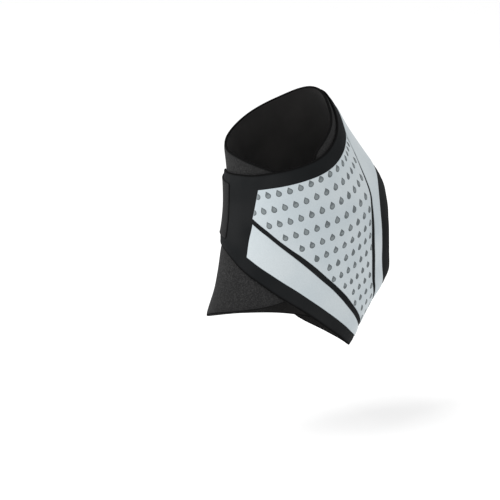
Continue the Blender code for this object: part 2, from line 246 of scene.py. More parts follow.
def flatCloth(loops, cell, bands, prints=()):
    # triangles of a flat cloth: rows of points beside its edges, then a square net
    outlines = [*loops, *prints]
    spare = []
    for band in bands:
        for loop in loops:
            row = insetLoop(loop, band)
            keep = inCloth(row, loops)
            for other in loops:
                keep &= distanceTo(row, other) > band * cutting["bandShare"]
            spare.append(row[keep])
    low, high = loops[0].min(0), loops[0].max(0)
    lines = [
        np.arange(math.floor(low[way] / cell), math.ceil(high[way] / cell) + 1) * cell for way in range(2)
    ]
    net = np.stack(np.meshgrid(*lines), -1).reshape(-1, 2)
    net = net[inCloth(net, loops)]
    for loop in loops:
        net = net[distanceTo(net, loop) > bands[-1] + cell * cutting["netClear"]]
    spare = np.vstack(spare + [net])
    for outline in prints:
        near = np.abs(spare - outline.mean(0)).max(1) < cell * cutting["printReach"]
        near[near] = distanceTo(spare[near], outline) < cell * cutting["printClear"]
        spare = spare[~near]
    edges = []
    first = 0
    for outline in outlines:
        edges += [(first + at, first + (at + 1) % len(outline)) for at in range(len(outline))]
        first += len(outline)
    points = [Vector(point) for point in np.vstack(outlines + [spare])]
    flat, _, faces, *_ = delaunay_2d_cdt(points, edges, [], 1, cutting["mergeReach"])
    flat = np.array([tuple(point) for point in flat])
    faces = np.array([tuple(face) for face in faces])
    faces = faces[inCloth(flat[faces].mean(1), loops)]
    used, faces = np.unique(faces, return_inverse=True)
    return flat[used], faces.reshape(-1, 3)


def edgeLoops(faces):
    # the loops of points round a flat cloth, with the cloth on their left
    sides = np.vstack([faces[:, [0, 1]], faces[:, [1, 2]], faces[:, [2, 0]]])
    known = {tuple(pair) for pair in sides.tolist()}
    onward = {start: end for start, end in known if (end, start) not in known}
    loops = []
    while onward:
        at = next(iter(onward))
        loop = []
        while at in onward:
            loop.append(at)
            at = onward.pop(at)
        loops.append(np.array(loop))
    return loops


def newPiece(name, mesh):
    piece = bpy.data.objects.new(name, mesh)
    bpy.context.scene.collection.objects.link(piece)
    return piece


def cornerPoints(mesh):
    corners = np.zeros(len(mesh.loops), int)
    mesh.loops.foreach_get("vertex_index", corners)
    return corners


def spreadFlat(flat, faces, lift):
    # the cloth laid flat in metres, and its area as it is worn
    mesh = bpy.data.meshes.new("spread")
    mesh.from_pydata(onForm(flat, lift).tolist(), [], [tuple(face[::-1]) for face in faces.tolist()])
    spread = newPiece("spread", mesh)
    bpy.ops.object.select_all(action="DESELECT")
    spread.select_set(True)
    bpy.context.view_layer.objects.active = spread
    bpy.ops.object.mode_set(mode="EDIT")
    bpy.ops.mesh.select_all(action="SELECT")
    bpy.ops.uv.unwrap(method="MINIMUM_STRETCH", fill_holes=False, margin=0)
    bpy.ops.object.mode_set(mode="OBJECT")
    corners = cornerPoints(mesh)
    found = np.zeros(len(corners) * 2)
    mesh.uv_layers.active.uv.foreach_get("vector", found)
    laid = np.zeros((len(flat), 2))
    laid[corners] = found.reshape(-1, 2)
    wornArea = sum(polygon.area for polygon in mesh.polygons)
    bpy.data.objects.remove(spread)
    first, second, third = laid[faces].transpose(1, 0, 2)
    across, along = second - first, third - first
    laidArea = np.abs(across[:, 0] * along[:, 1] - across[:, 1] * along[:, 0]).sum() / 2
    # turned to lie as the pattern does
    pattern = (flat[:, 0] - flat[:, 0].mean()) - 1j * (flat[:, 1] - flat[:, 1].mean())
    middle = laid.mean(0)
    spot = (laid[:, 0] - middle[0]) + 1j * (laid[:, 1] - middle[1])
    turning = (np.conj(spot) * pattern).sum()
    spot *= turning / abs(turning) * math.sqrt(wornArea / laidArea)
    return np.stack([spot.real, spot.imag], 1), wornArea


def wrapCloth(name, edges, holes, cloth, drops=None):
    # a closed sheet on the form: a face, a lining and a rounded rim between them
    loops = [turnedTo(closedLoop(edges), False)] + [turnedTo(hole, True) for hole in holes]
    rimWidth, thickness, steps = cloth["rimWidth"], cloth["thickness"], cloth["rimSteps"]
    innerLoops = [insetLoop(loop, rimWidth) for loop in loops]
    flat, faces = flatCloth(innerLoops, cloth["cell"], cloth["bands"])
    laid, area = spreadFlat(flat, faces, cloth["lift"] + thickness)
    if drops:
        flat, faces = flatCloth(innerLoops, cloth["cell"], cloth["bands"], drops["outlines"])
        laid = flat
    count = len(flat)
    depth = np.min([distanceTo(flat, loop) for loop in innerLoops], axis=0)
    taper = 1 - cloth["edgePress"] * np.exp(-(depth / cloth["edgeReach"]) ** 2)
    raised = drops["rise"](flat) if drops else 0.0
    places, maps = [flat, flat], [laid, laid]
    lifts = [cloth["lift"] + thickness * taper + raised, np.full(count, cloth["lift"])]
    depths = [depth + rimWidth, depth + rimWidth]
    first = 2 * count
    quads = []
    for loop in edgeLoops(faces):
        size = len(loop)
        rings = [loop]
        for step in range(1, steps):
            swing = math.pi * step / steps
            outwards = rimWidth * math.sin(swing)
            places.append(insetLoop(flat[loop], -outwards))
            maps.append(laid[loop])
            high = cloth["lift"] + thickness * (1 - cloth["edgePress"]) * (1 + math.cos(swing)) / 2
            lifts.append(np.full(size, high))
            depths.append(np.full(size, rimWidth - outwards))
            rings.append(np.arange(first, first + size))
            first += size
        rings.append(loop + count)
        for above, below in zip(rings, rings[1:]):
            quads += np.stack([above, np.roll(above, -1), np.roll(below, -1), below], 1).tolist()
    places = np.vstack(places)
    points = onForm(places, np.concatenate(lifts))
    slots = [0] * len(faces) + [1] * len(faces) + [2] * len(quads)
    if drops:
        slots[:len(faces)] = np.where(drops["depth"](flat[faces].mean(1)) > 0, 3, 0).tolist()
    mesh = bpy.data.meshes.new(name)
    mesh.from_pydata(points.tolist(), [], faces[:, ::-1].tolist() + (faces + count).tolist() + quads)
    mesh.polygons.foreach_set("material_index", slots)
    clothMap = mesh.uv_layers.new(name="clothMap")
    clothMap.uv.foreach_set("vector", np.vstack(maps)[cornerPoints(mesh)].ravel())
    mesh.attributes.new("edgeDepth", "FLOAT", "POINT").data.foreach_set("value", np.concatenate(depths))
    if drops:
        dropDepth = mesh.attributes.new("dropDepth", "FLOAT", "POINT")
        dropDepth.data.foreach_set("value", drops["depth"](places))
    mesh.shade_smooth()
    mesh.update()
    return newPiece(name, mesh)


# Edges of the pattern pieces, as (turn, station)
wingRim = [
    (-31, 2.50), (-17, 2.40), (10, 2.32), (28, 2.31), (47, 2.28), (74, 2.28), (88, 2.27), (102, 2.20),
    (120, 1.99), (135, 1.74), (144, 1.55), (153, 1.33), (162, 1.12), (175, 0.97), (190, 0.93), (207, 1.00),
    (222, 1.16), (231, 1.42), (236, 1.80),
]
wingHem = [
    (236, 7.95), (231, 8.30), (221, 8.58), (205, 8.74), (180, 8.80), (150, 8.75), (129, 8.43),
    (116.5, 8.10), (102, 7.69), (89, 7.30), (77.5, 6.96), (62, 6.51), (43, 5.92), (31, 5.63), (20, 5.38),
    (8, 5.11), (-4, 4.93), (-18, 4.84), (-31, 4.80),
]
wingFront = [
    (-31, 4.80), (-36, 4.72), (-38, 4.50), (-38, 3.65), (-38, 2.82), (-36, 2.60), (-31, 2.50),
]
baseRim = [
    (84, 2.42), (89, 2.24), (95, 2.05), (108.5, 1.87), (120, 1.73), (130, 1.60), (141, 1.40), (152, 1.14),
    (162, 0.96), (176, 0.84), (195, 0.80), (214, 0.86), (240, 1.02), (270, 1.20), (300, 1.41), (331, 1.60),
    (348, 1.69), (367, 1.77), (387, 1.96), (402, 2.16), (410, 2.30), (420, 2.60), (430, 3.10),
]
baseHem = [
    (430, 6.30), (421, 6.56), (410, 6.74), (397, 6.86), (382, 7.00), (368, 7.13), (350, 7.35), (332, 7.62),
    (300, 8.00), (270, 8.25), (240, 8.42), (210, 8.50), (180, 8.52), (150, 8.46), (129, 8.18), (104, 7.42),
    (84, 6.85),
]
# outer half of the heel opening, with the share of the dark border's width beside each spot
heelEdge = [
    (180, 3.72), (164, 3.82), (150, 4.12), (141, 4.43), (134.5, 4.68), (130.8, 4.97), (130.2, 5.25),
    (132.2, 5.57), (138, 5.95), (146.5, 6.36), (164, 6.62), (180, 6.68),
]
borderShares = [1.0, 1.1, 1.25, 1.25, 1.13, 1.05, 1.0, 1.0, 1.0, 0.75, 0.7, 0.7]
rearFilmTop = [
    (138.5, 2.16), (146, 1.90), (153, 1.72), (162, 1.55), (176, 1.42), (197, 1.38), (214, 1.48),
]
# middles of the two dark bars between the films
diagonalBar = [
    (27, 3.76), (33, 3.96), (40, 4.20), (48.5, 4.55), (57, 4.90), (65, 5.20), (74.5, 5.55), (84.5, 5.93),
    (95, 6.33), (103, 6.62), (113, 6.98), (120, 7.23), (131, 7.62), (141, 7.93), (152, 8.20),
]
rearBar = [
    (138.5, 2.02), (136, 2.40), (133.5, 2.80), (130.5, 3.18), (128, 3.50), (124.5, 3.87), (119.5, 4.19),
    (115, 4.53), (112.3, 4.87), (112, 5.15), (113.5, 5.45), (116.3, 5.80), (120.5, 6.17), (126.5, 6.46),
    (133, 6.71), (139.5, 6.94), (152, 7.28),
]
rearShares = [0.25, 0.25, 0.3, 0.5, 0.65, 0.8, 0.9] + [1] * 10      # width of the rear bar beside each spot
lowerFilmHem = [
    (152, 8.46), (140, 8.29), (127, 8.00), (117, 7.71), (102.5, 7.27), (89.5, 6.88), (77.5, 6.51),
    (62, 5.99), (48, 5.59), (36, 5.29), (25.3, 5.02),
]


def movedDown(spots, length):
    return [(turn, station + length / stationLength) for turn, station in spots]


def rearBarSide(way):
    half = way * film["rearWidth"] / 2
    return [(turn + half * share / degree, station) for (turn, station), share in zip(rearBar, rearShares)]


def mirrored(spots):
    return [(360 - turn, station) for turn, station in spots]


def crossing(start, end, turn):
    share = (turn - start[0]) / (end[0] - start[0])
    return (turn, start[1] + (end[1] - start[1]) * share)


def between(spots, lowTurn, highTurn):
    # the part of an edge between two turns
    result = []
    for start, end in zip(spots, spots[1:]):
        for turn in (lowTurn, highTurn):
            if start[0] < turn <= end[0]:
                result.append(crossing(start, end, turn))
        if lowTurn < end[0] < highTurn:
            result.append(end)
    return sorted(result)


def downTo(spots, turn):
    # an edge from its start to where it comes round to a turn
    result = [spots[0]]
    for start, end in zip(spots, spots[1:]):
        if start[0] < turn <= end[0]:
            return result + [crossing(start, end, turn)]
        result.append(end)
    return result


def heelWider(lengths):
    middle = np.array([180, (heelEdge[0][1] + heelEdge[-1][1]) / 2]) * flatScale
    points = np.array(heelEdge) * flatScale
    points += unit(points - middle) * lengths
    return [tuple(point) for point in points / flatScale]


def heelLoop(length, step):
    edge = heelWider(np.full((len(heelEdge), 1), length))
    return closedLoop([smoothEdge(edge, step), smoothEdge(mirrored(edge)[::-1], step)])


# Inner wrap: looped knit outside, smooth lining inside
base = {
    "thickness": 0.0020, "lift": 0.0, "cell": 0.0017, "edgeStep": 0.0012,
    "rimWidth": 0.0008, "rimSteps": 6, "edgePress": 0.18, "edgeReach": 0.0016,
    "bands": [0.0004, 0.0014], "heelGap": 0.0003,
}
baseEdges = [
    smoothEdge(baseRim, base["edgeStep"]),
    smoothEdge([baseRim[-1], baseHem[0]], base["edgeStep"]),
    smoothEdge(baseHem, base["edgeStep"]),
    smoothEdge([baseHem[-1], baseRim[0]], base["edgeStep"]),
]
baseCloth = wrapCloth("base_cloth_wrap", baseEdges, [heelLoop(base["heelGap"], base["edgeStep"])], base)
print("base wrap cut and wrapped:", len(baseCloth.data.polygons), "faces")

# Outer wing: smooth stretch cloth closed over the base
wing = {
    "thickness": 0.0020, "lift": 0.0023, "cell": 0.0017, "edgeStep": 0.0012,
    "rimWidth": 0.0008, "rimSteps": 6, "edgePress": 0.38, "edgeReach": 0.0025,
    "bands": [0.0004, 0.0014],
}
wingEdges = [smoothEdge(edge, wing["edgeStep"]) for edge in (
    wingRim, [wingRim[-1], wingHem[0]], wingHem, wingFront,
)]
wingCloth = wrapCloth("wing_cloth_wrap", wingEdges, [heelLoop(0, wing["edgeStep"])], wing)
print("wing cut and wrapped:", len(wingCloth.data.polygons), "faces")

# Printed films, pressed on the wing, with bare dark bands between them
film = {
    "thickness": 0.00045, "lift": 0.00432, "cell": 0.0017, "edgeStep": 0.0010,
    "rimWidth": 0.00025, "rimSteps": 4, "edgePress": 0.3, "edgeReach": 0.0005,
    "bands": [0.0002, 0.0010],
    "collarBand": 0.0100, "diagonalWidth": 0.0037, "rearWidth": 0.0021, "heelBorder": 0.0084,
    "frontTurn": 33.3, "soleTurn": 152, "rearEndTurn": 214,
    "lowerFront": (24.9, 4.43),     # the lower film's front edge passes through here
}


def mainFilmEdges():
    top = between(movedDown(wingRim, film["collarBand"]), film["frontTurn"], rearBar[0][0])
    side = rearBarSide(-1)
    bottom = movedDown(diagonalBar, -film["diagonalWidth"] / 2)
    side[0] = (side[0][0], top[-1][1])
    top[-1] = side[0]
    return [top, side, [side[-1], bottom[-1]], bottom[::-1], [bottom[0], top[0]]]


def lowerFilmEdges():
    top = movedDown(diagonalBar, film["diagonalWidth"] / 2)
    return [top, [top[-1], lowerFilmHem[0]], lowerFilmHem, [lowerFilmHem[-1], film["lowerFront"], top[0]]]


def rearFilmEdges():
    side = rearBarSide(1)
    top = between(rearFilmTop, side[0][0], film["rearEndTurn"])
    side[0] = (side[0][0], top[0][1])
    border = heelWider(np.array(borderShares)[:, None] * film["heelBorder"])
    outer = downTo(border, film["soleTurn"])
    inner = downTo(mirrored(border), film["rearEndTurn"])
    return [side, [side[-1], outer[-1]], outer[::-1] + inner[1:], [inner[-1], top[-1]], top[::-1]]


# Printed drops on the main film, in staggered rows
dropPrint = {
    "radius": 0.00187, "tip": 0.0032, "rim": 0.00038, "rise": 0.00005, "arcSteps": 13, "sink": 0.00025,
    "slopeStep": 0.0005,        # metres of cloth that its slope is taken over
    "columnPitch": 0.0070, "rowPitch": 0.0099,      # at which a drop has its full size
    "columnStep": 4, "rowStep": 3, "firstRow": 1, "columns": (-3, 18), "rows": (0, 15),
    "lean": 0.62, "leanColumns": (2, 7),            # tips lean along the columns towards the heel opening
    "tilt": 0.30, "tiltColumns": 8,                 # radians that the first drops tip forwards, fading out
    "uncutFrom": 3, "uncutShare": 0.45,             # from this row on, no thin slivers
    # where every fourth column and third row of the print lies, as (turn, station)
    "guide": [
        [(41.5, 2.96), (77, 2.89), (111.5, 2.74), (131, 2.41)],
        [(41, 4.40), (69.5, 4.21), (99.5, 4.04), (128.5, 3.72)],
        [(52, 6.12), (72, 5.67), (92, 5.28), (109.5, 4.86)],
        [(69, 7.51), (87.5, 6.92), (103.5, 6.66), (113.5, 6.06)],
        [(88.5, 8.91), (109.5, 8.65), (128, 8.39), (135, 7.58)],
    ],
}


def alongGuide(spots, at):
    # smooth between four spots, straight on past both ends
    spots = np.vstack([2 * spots[:1] - spots[1:2], spots, 2 * spots[-1:] - spots[-2:-1]])
    last = len(spots) - 3
    start = clamped(math.floor(at), 0, last - 1)
    spot = smoothStep(*spots[start:start + 4], clamped(at, 0, last) - start)
    if at < 0:
        spot = spot + (spots[2] - spots[1]) * at
    if at > last:
        spot = spot + (spots[-2] - spots[-3]) * (at - last)
    return spot


def printSpot(column, row):
    guide = np.array(dropPrint["guide"], float) * flatScale
    down = (row - dropPrint["firstRow"]) / dropPrint["rowStep"]
    across = column / dropPrint["columnStep"]
    return alongGuide(np.array([alongGuide(line, across) for line in guide]), down)


def dropFrame(column, row):
    # centre of a drop and the flat steps for one metre along its row and one up to its tip
    centre = printSpot(column, row)
    step = dropPrint["slopeStep"]
    around = np.array([centre, centre + (step, 0), centre + (0, step)])
    origin, alongX, alongY = onForm(around, np.full(3, film["lift"]))
    slopes = np.stack([alongX - origin, alongY - origin], 1) / step
    rowWay = slopes @ (printSpot(column + 0.5, row) - printSpot(column - 0.5, row)) / dropPrint["columnPitch"]
    columnWay = slopes @ (printSpot(column, row - 1) - printSpot(column, row + 1)) / dropPrint["rowPitch"] / 2
    outward = np.cross(slopes[:, 1], slopes[:, 0])
    upright = np.cross(outward / np.linalg.norm(outward), rowWay / np.linalg.norm(rowWay))
    upright *= columnWay @ upright
    leanStart, leanEnd = dropPrint["leanColumns"]
    lean = clamped((column - leanStart) / (leanEnd - leanStart), 0, 1)
    lean = lean ** 2 * (3 - 2 * lean) * dropPrint["lean"]
    tipWay = upright * (1 - lean) + columnWay * lean
    tilt = dropPrint["tilt"] * clamped(1 - column / dropPrint["tiltColumns"], 0, 1)
    rowSize, tipSize = np.linalg.norm(rowWay), np.linalg.norm(tipWay)
    tilted = tipWay * math.cos(tilt) - rowWay * (math.sin(tilt) * tipSize / rowSize)
    rowWay = rowWay * math.cos(tilt) + tipWay * (math.sin(tilt) * rowSize / tipSize)
    back = np.linalg.pinv(slopes)
    return centre, back @ rowWay, back @ tilted


def dropOutline(scale):
    # a round drop with straight flanks to its tip
    radius, tip = dropPrint["radius"] * scale, dropPrint["tip"] * scale
    flank = math.acos(radius / tip)
    swings = np.linspace(flank, 2 * math.pi - flank, dropPrint["arcSteps"])
    arc = np.stack([np.sin(swings), np.cos(swings)], 1) * radius
    return np.vstack([[(0, tip)], arc])


def dropShare(spots):
    # 0 in the middle of a drop, 1 on its outline
    radius, tip = dropPrint["radius"], dropPrint["tip"]
    flank = math.acos(radius / tip)
    aside, upwards = np.abs(spots[:, 0]), spots[:, 1]
    onFlank = np.arctan2(aside, upwards) < flank
    return np.where(
        onFlank, aside * math.sin(flank) + upwards * math.cos(flank), np.hypot(aside, upwards)
    ) / radius


def printedDrops(loop):
    frames, outlines = [], []
    innerScale = 1 - dropPrint["rim"] / dropPrint["radius"]
    for row in range(*dropPrint["rows"]):
        for column in range(*dropPrint["columns"]):
            centre, rowWay, tipWay = dropFrame(column + (0.5 if row % 2 == 0 else 0), row)
            centre = centre - tipWay * dropPrint["sink"]
            ways = np.array([rowWay, tipWay])
            outline = centre + dropOutline(1) @ ways
            shown = insideLoop(outline, loop).mean()
            if shown == 0 or (row >= dropPrint["uncutFrom"] and shown < dropPrint["uncutShare"]):
                continue
            frames.append((centre, np.linalg.inv(ways)))
            outlines += [outline, centre + dropOutline(innerScale) @ ways]
    centres = np.array([centre for centre, _ in frames])

    def depth(points):
        # how deep a flat point lies in its nearest drop, less than 0 outside
        result = np.zeros(len(points))
        nearest = np.linalg.norm(points[:, None] - centres[None], axis=2).argmin(1)
        for index, (centre, toDrop) in enumerate(frames):
            chosen = nearest == index
            result[chosen] = dropPrint["radius"] * (1 - dropShare((points[chosen] - centre) @ toDrop))
        return result

    def rise(points):
        return np.clip(depth(points) / dropPrint["rim"], 0, 1) * dropPrint["rise"]

    print("drops printed:", len(frames))
    return {"outlines": outlines, "depth": depth, "rise": rise}


films = {}
for name, edges in (
    ("main_film", mainFilmEdges()), ("lower_film", lowerFilmEdges()), ("rear_film", rearFilmEdges()),
):
    edges = [smoothEdge(edge, film["edgeStep"]) for edge in edges]
    drops = printedDrops(closedLoop(edges)) if name == "main_film" else None
    films[name] = wrapCloth(name, edges, [], film, drops)
    print(name, "cut and pressed on:", len(films[name].data.polygons), "faces")


# Hook tab, sewn on near the front end of the wing
tab = {
    "thickness": 0.0007, "lift": 0.00435, "cell": 0.0011, "edgeStep": 0.0008,
    "rimWidth": 0.0003, "rimSteps": 6, "edgePress": 0.45, "edgeReach": 0.0010, "bands": [0.0003, 0.0009],
    "frontTurn": 0.0, "backTurn": -33, "topStation": 2.68, "bottomStation": 4.56,
    "corner": 0.0016, "leastCorner": 0.0004, "arcSteps": 6,
}


def tabOutline(inset):
    low = np.array([tab["backTurn"], tab["topStation"]]) * flatScale + inset
    high = np.array([tab["frontTurn"], tab["bottomStation"]]) * flatScale - inset
    corner = max(tab["corner"] - inset, tab["leastCorner"])
    edge = []
    for quarter, centre in enumerate((
        high - corner, (low[0] + corner, high[1] - corner), low + corner, (high[0] - corner, low[1] + corner),
    )):
        swings = np.radians(90 * (quarter + np.linspace(0, 1, tab["arcSteps"] + 1)))
        edge += (np.array(centre) + np.stack([np.cos(swings), np.sin(swings)], 1) * corner).tolist()
    edge.append(edge[0])
    filled = []
    for start, end in zip(np.array(edge), np.array(edge[1:])):
        pieces = max(1, round(np.linalg.norm(end - start) / tab["edgeStep"]))
        filled += [start + (end - start) * share / pieces for share in range(pieces)]
    return np.array(filled)


hookTab = wrapCloth("hook_tape", [tabOutline(0)], [], tab)
print("hook tab sewn on")


# Stitches, one modelled and the rest copied along a seam
stitch = {
    "length": 0.0021, "pitch": 0.0027, "radius": 0.00026, "segments": 8, "rings": 6,
    "tabInset": 0.0011, "wingInset": 0.0032, "rowGap": 0.0022, "sunk": 0.00010, "heelClear": 0.0022,
}
heelEdgeLoop = heelLoop(0, wing["edgeStep"])


def seamPlaces(path, lift):
    # middles, tangents and normals of the stitches along a flat path
    lengths = pathLengths(path)
    count = int(lengths[-1] / stitch["pitch"])
    wanted = (np.arange(count) + 0.5) * lengths[-1] / count
    half = stitch["length"] / 2

    def placesAt(distance):
        return onForm(pathSpots(path, lengths, distance), np.full(count, lift))

    ahead = unit(placesAt(wanted + half) - placesAt(wanted - half))
    spots = pathSpots(path, lengths, wanted)
    normal = formNormals(*(spots / flatScale).T)
    onCloth = ~insideLoop(spots, heelEdgeLoop) & (distanceTo(spots, heelEdgeLoop) > stitch["heelClear"])
    return placesAt(wanted)[onCloth], ahead[onCloth], normal[onCloth]


def sewn(name, seams):
    bpy.ops.object.select_all(action="DESELECT")
    bpy.ops.mesh.primitive_uv_sphere_add(
        segments=stitch["segments"], ring_count=stitch["rings"], radius=stitch["radius"]
    )
    first = bpy.context.object
    bpy.ops.object.mode_set(mode="EDIT")
    bpy.ops.mesh.select_all(action="SELECT")
    bpy.ops.transform.rotate(value=math.pi / 2, orient_axis="Y", center_override=(0, 0, 0))
    bpy.ops.transform.resize(value=(stitch["length"] / 2 / stitch["radius"], 1, 1))
    bpy.ops.object.mode_set(mode="OBJECT")
    bpy.ops.object.shade_smooth()
    copies = []
    for middles, tangents, normals in seams:
        for middle, ahead, normal in zip(middles, tangents, normals):
            copy = first.copy()
            copy.data = first.data.copy()
            bpy.context.scene.collection.objects.link(copy)
            aside = np.cross(normal, ahead)
            turned = Matrix(np.stack([ahead, aside, normal], 1).tolist()).to_4x4()
            copy.matrix_world = Matrix.Translation(middle) @ turned
            copies.append(copy)
    bpy.data.objects.remove(first)
    bpy.ops.object.select_all(action="DESELECT")
    for copy in copies:
        copy.select_set(True)
    bpy.context.view_layer.objects.active = copies[0]
    bpy.ops.object.join()
    bpy.ops.object.transform_apply(location=True, rotation=True, scale=True)
    seam = bpy.context.object
    seam.name = name
    return seam


tabTop = tab["lift"] + tab["thickness"] - stitch["sunk"]
tabPath = tabOutline(stitch["tabInset"])
tabStitches = sewn("tab_stitches", [seamPlaces(np.vstack([tabPath, tabPath[:1]]), tabTop)])
wingTop = wing["lift"] + wing["thickness"] - stitch["sunk"]
wingSeams = []
for row in range(2):
    inset = stitch["wingInset"] + row * stitch["rowGap"]
    turn = wingRim[-1][0] - inset / degree
    ends = [(turn, wingRim[-1][1] + inset / stationLength), (turn, wingHem[0][1] - inset / stationLength)]
    wingSeams.append(seamPlaces(smoothEdge(ends, stitch["length"]), wingTop))
wingStitches = sewn("wing_end_stitches", wingSeams)
print("seams sewn")


# Building blocks of the finishes
def feed(tree, socket, value):
    if isinstance(value, bpy.types.NodeSocket):
        tree.links.new(value, socket)
    else:
        socket.default_value = value


def addNode(tree, kind, inputs=None, **settings):
    node = tree.nodes.new(kind)
    for name, value in settings.items():
        setattr(node, name, value)
    for name, value in (inputs or {}).items():
        feed(tree, node.inputs[name], value)
    return node


def sums(tree, operation, first, second=0.0, third=0.0):
    return addNode(tree, "ShaderNodeMath", {0: first, 1: second, 2: third}, operation=operation).outputs[0]


def ranged(tree, value, low, high, newLow=0.0, newHigh=1.0):
    node = addNode(tree, "ShaderNodeMapRange", {
        "Value": value, "From Min": low, "From Max": high, "To Min": newLow, "To Max": newHigh,
    }, interpolation_type="SMOOTHSTEP")
    return node.outputs["Result"]


def noise(tree, where, scale, shape):
    return addNode(tree, "ShaderNodeTexNoise", {"Vector": where, "Scale": scale, **shape}).outputs["Fac"]


def mixed(tree, share, first, second):
    node = addNode(tree, "ShaderNodeMix", {0: share}, data_type="RGBA")
    for index, colour in ((6, first), (7, second)):
        feed(tree, node.inputs[index], (*colour, 1) if isinstance(colour, tuple) else colour)
    return node.outputs[2]


def tinted(tree, mask, share, tone, colour):
    # a tone taken towards a colour by a share of a mask
    return mixed(tree, sums(tree, "MULTIPLY", mask, share), tone, colour)


def newGroup(name, inputs, outputs):
    group = bpy.data.node_groups.new(name, "ShaderNodeTree")
    for socketName, value in inputs.items():
        kind = "NodeSocketVector" if value is None else "NodeSocketFloat"
        socket = group.interface.new_socket(socketName, in_out="INPUT", socket_type=kind)
        if value is not None:
            socket.default_value = value
    for socketName in outputs:
        group.interface.new_socket(socketName, in_out="OUTPUT", socket_type="NodeSocketFloat")
    return group, addNode(group, "NodeGroupInput").outputs


def finishGroup(group, outputs):
    addNode(group, "NodeGroupOutput", outputs)
    return group


# Shapes of the textures, as shares of a loop, a curl or a hook, or as levels of a noise
texture = {
    "knitSlant": 1.6, "knitGap": (0.36, 0.5),
    "pileNoise": {"Detail": 3.0, "Roughness": 0.65, "Distortion": 0.8},
    "pileLoops": 1.3, "pileSmoothness": 0.6, "pileDip": 0.45, "pileFleck": (0.16, 0.52),
    "mottleNoise": {"Detail": 2.0}, "mottle": (0.3, 0.7),
    "hook": (0.12, 0.38),
}


def jerseyGroup():
    # columns of V-shaped loops, on the cloth's own map
    group, given = newGroup("jerseyKnit", {"Map": None, "Wale": 0.0009, "Course": 0.0007}, ["Height", "Gap"])
    parts = addNode(group, "ShaderNodeSeparateXYZ", {0: given["Map"]}).outputs
    column = sums(group, "DIVIDE", parts[0], given["Wale"])
    aside = sums(group, "ABSOLUTE", sums(group, "SUBTRACT", sums(group, "FRACT", column), 0.5))
    slant = sums(group, "MULTIPLY", aside, texture["knitSlant"])
    row = sums(group, "ADD", sums(group, "DIVIDE", parts[1], given["Course"]), slant)
    wave = sums(group, "SINE", sums(group, "MULTIPLY", row, 2 * math.pi))
    loop = sums(group, "MULTIPLY_ADD", wave, 0.5, 0.5)
    gap = ranged(group, aside, *texture["knitGap"])
    heightNow = sums(group, "MULTIPLY", loop, sums(group, "SUBTRACT", 1.0, gap))
    return finishGroup(group, {"Height": heightNow, "Gap": gap})


def pileGroup():
    # brushed loops: curls of two sizes with lighter flecks on top
    group, given = newGroup("brushedPile", {"Place": None, "Size": 0.001}, ["Height", "Fleck"])
    scale = sums(group, "DIVIDE", 1.0, given["Size"])
    curls = noise(group, given["Place"], scale, texture["pileNoise"])
    loops = addNode(group, "ShaderNodeTexVoronoi", {
        "Vector": given["Place"], "Scale": sums(group, "MULTIPLY", scale, texture["pileLoops"]),
        "Smoothness": texture["pileSmoothness"],
    }, feature="SMOOTH_F1").outputs["Distance"]
    heightNow = sums(group, "SUBTRACT", curls, sums(group, "MULTIPLY", loops, texture["pileDip"]))
    return finishGroup(group, {"Height": heightNow, "Fleck": ranged(group, heightNow, *texture["pileFleck"])})


def mottleGroup():
    # slow drift of tone over a cloth
    group, given = newGroup("softMottle", {"Place": None, "Size": 0.03}, ["Value"])
    drift = noise(group, given["Place"], sums(group, "DIVIDE", 1.0, given["Size"]), texture["mottleNoise"])
    return finishGroup(group, {"Value": ranged(group, drift, *texture["mottle"])})


def edgeGroup():
    # 1 on the very edge of a cloth, 0 a width inside it
    group, given = newGroup("edgeBand", {"Depth": 0.0, "Width": 0.001}, ["Mask"])
    share = sums(group, "DIVIDE", given["Depth"], given["Width"])
    return finishGroup(group, {"Mask": ranged(group, share, 0.0, 1.0, 1.0, 0.0)})


def hookGroup():
    # rows of tiny hooks, each row half a step on
    group, given = newGroup("hookRows", {"Map": None, "Pitch": 0.0011}, ["Height"])
    parts = addNode(group, "ShaderNodeSeparateXYZ", {0: given["Map"]}).outputs
    row = sums(group, "DIVIDE", parts[1], given["Pitch"])
    shift = sums(group, "MULTIPLY", sums(group, "MODULO", sums(group, "FLOOR", row), 2.0), 0.5)
    column = sums(group, "ADD", sums(group, "DIVIDE", parts[0], given["Pitch"]), shift)
    away = [sums(group, "SUBTRACT", sums(group, "FRACT", way), 0.5) for way in (column, row)]
    squares = [sums(group, "MULTIPLY", way, way) for way in away]
    reach = sums(group, "SQRT", sums(group, "ADD", *squares))
    return finishGroup(group, {"Height": ranged(group, reach, *texture["hook"], 1.0, 0.0)})


groups = {
    "jersey": jerseyGroup(), "pile": pileGroup(), "mottle": mottleGroup(), "edge": edgeGroup(),
    "hooks": hookGroup(),
}


def place(tree, name, inputs):
    return addNode(tree, "ShaderNodeGroup", inputs, node_tree=groups[name]).outputs


def objectPlace(tree):
    return addNode(tree, "ShaderNodeTexCoord").outputs["Object"]


def clothPlace(tree):
    return addNode(tree, "ShaderNodeUVMap", uv_map="clothMap").outputs["UV"]


def edgeMask(tree, width, depthName="edgeDepth"):
    depth = addNode(tree, "ShaderNodeAttribute", attribute_name=depthName).outputs["Fac"]
    return place(tree, "edge", {"Depth": depth, "Width": width})["Mask"]


